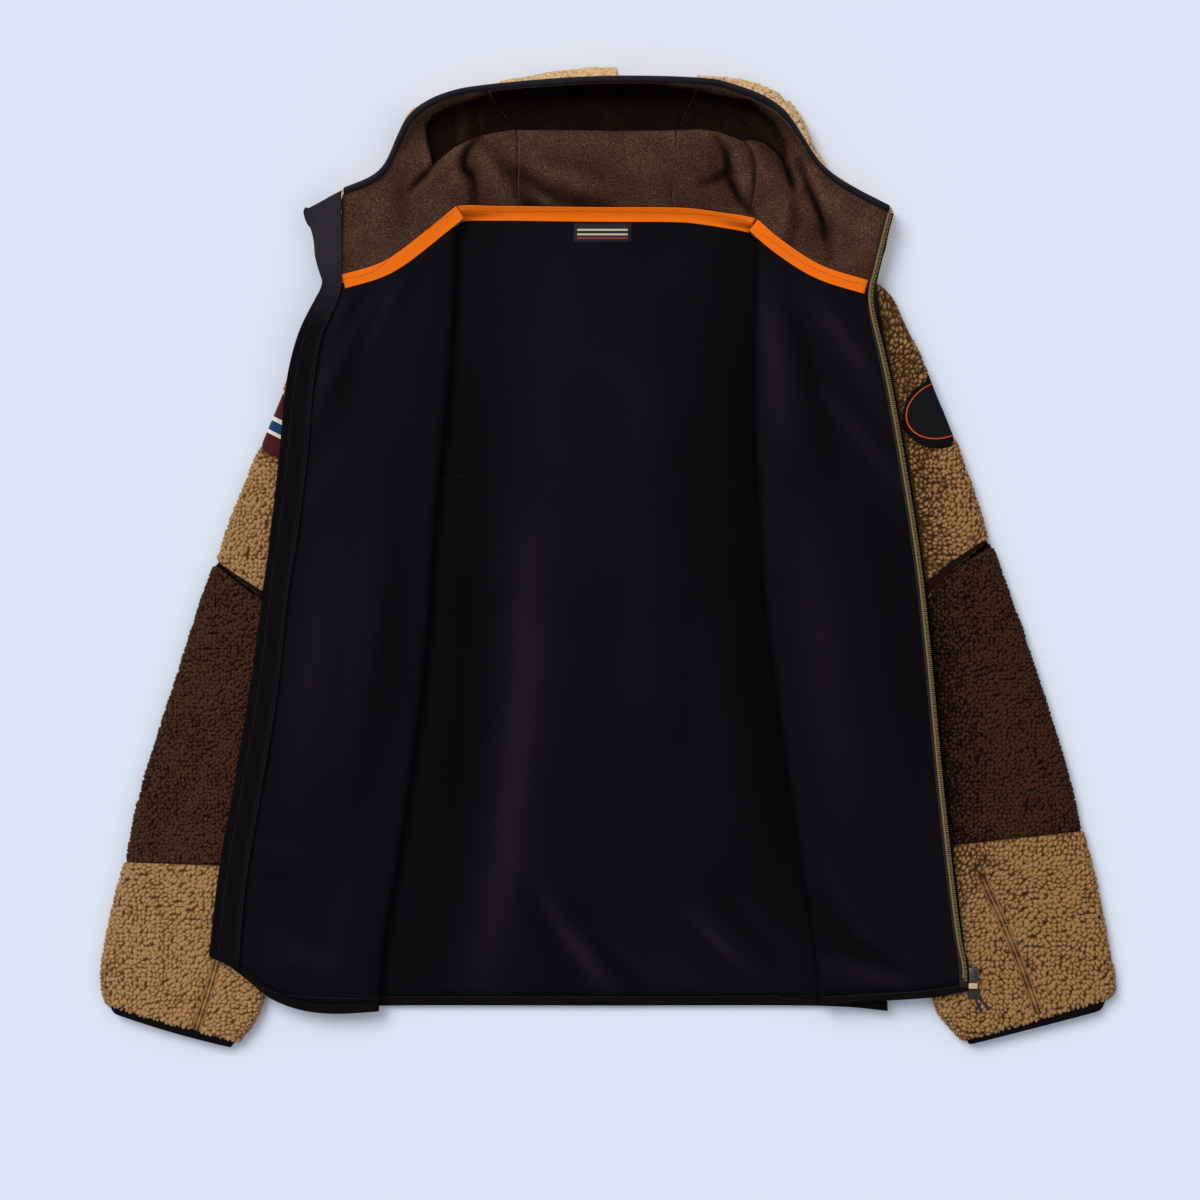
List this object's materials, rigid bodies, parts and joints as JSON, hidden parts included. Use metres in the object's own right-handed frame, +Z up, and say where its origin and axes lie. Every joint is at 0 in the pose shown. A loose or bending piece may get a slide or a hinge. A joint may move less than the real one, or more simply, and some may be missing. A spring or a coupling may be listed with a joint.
{
  "type": "hooded fleece jacket",
  "caption": "Hooded pile fleece jacket laid open flat: both fronts folded back to show the lining, sleeves beside them, hood heaped above the neck",
  "frame": {"origin": "centre of the footprint, on the surface that the jacket lies on", "axes": "+X runs across the jacket, from cuff to cuff, towards the front that carries the slider; +Y runs from hem to hood; +Z points up, away from the surface"},
  "size_m": [0.9145, 0.8833, 0.047],
  "materials": {
    "tan_sherpa": "tan pile fleece with a soft curly nap",
    "brown_sherpa": "dark brown pile fleece with a fine curly nap",
    "microfleece": "short brushed brown fleece",
    "black_lining": "smooth black woven lining with a faint sheen",
    "flap_cloth": "plain black woven cloth, double stitched",
    "orange_tape": "orange twill tape",
    "zip_tape": "khaki woven zip tape with moulded teeth",
    "hem_binding": "black stretch binding",
    "hood_binding": "dark grey stretch binding",
    "neck_label": "plain black woven label",
    "oval_patch": "black embroidered oval with an orange ring",
    "striped_patch": "woven patch with maroon, cream and blue stripes",
    "slider_metal": "dark grey painted metal",
    "box_cream": "cream moulded plastic",
    "pull_black": "black moulded grip on a cord"
  },
  "bodies": {
    "jacket": {"back": "tan_sherpa", "back_lining": "black_lining", "back_hem_binding": "hem_binding", "left_front": "tan_sherpa", "left_front_lining": "black_lining", "left_hem_binding": "hem_binding", "right_front": "tan_sherpa", "right_front_lining": "black_lining", "right_hem_binding": "hem_binding", "left_sleeve_upper": "tan_sherpa", "left_sleeve_elbow": "brown_sherpa", "left_sleeve_cuff": "tan_sherpa", "left_cuff_binding": "hem_binding", "right_sleeve_upper": "tan_sherpa", "right_sleeve_elbow": "brown_sherpa", "right_sleeve_cuff": "tan_sherpa", "right_cuff_binding": "hem_binding", "stripe_patch": "striped_patch", "oval_patch": "oval_patch", "hood_left": "tan_sherpa", "hood_centre": "tan_sherpa", "hood_right": "tan_sherpa", "hood_lining_left": "microfleece", "hood_lining_centre": "microfleece", "hood_lining_right": "microfleece", "hood_binding": "hood_binding", "neck_tape_left": "orange_tape", "neck_tape_back": "orange_tape", "neck_tape_right": "orange_tape", "neck_label": "neck_label", "zip_flap": "flap_cloth", "zip_tape_left": "zip_tape", "zip_tape_right": "zip_tape", "zip_slider": "slider_metal", "zip_box": "box_cream"},
    "zip_pull": {"zip_pull": "pull_black"}
  },
  "joints": [
    {"name": "pull_swing", "type": "hinge", "parent": "jacket", "child": "zip_pull", "pos_m": [0.3279, -0.3758, 0.0192], "axis": [-1, 0, 0], "range_deg": [0, 10]}
  ]
}
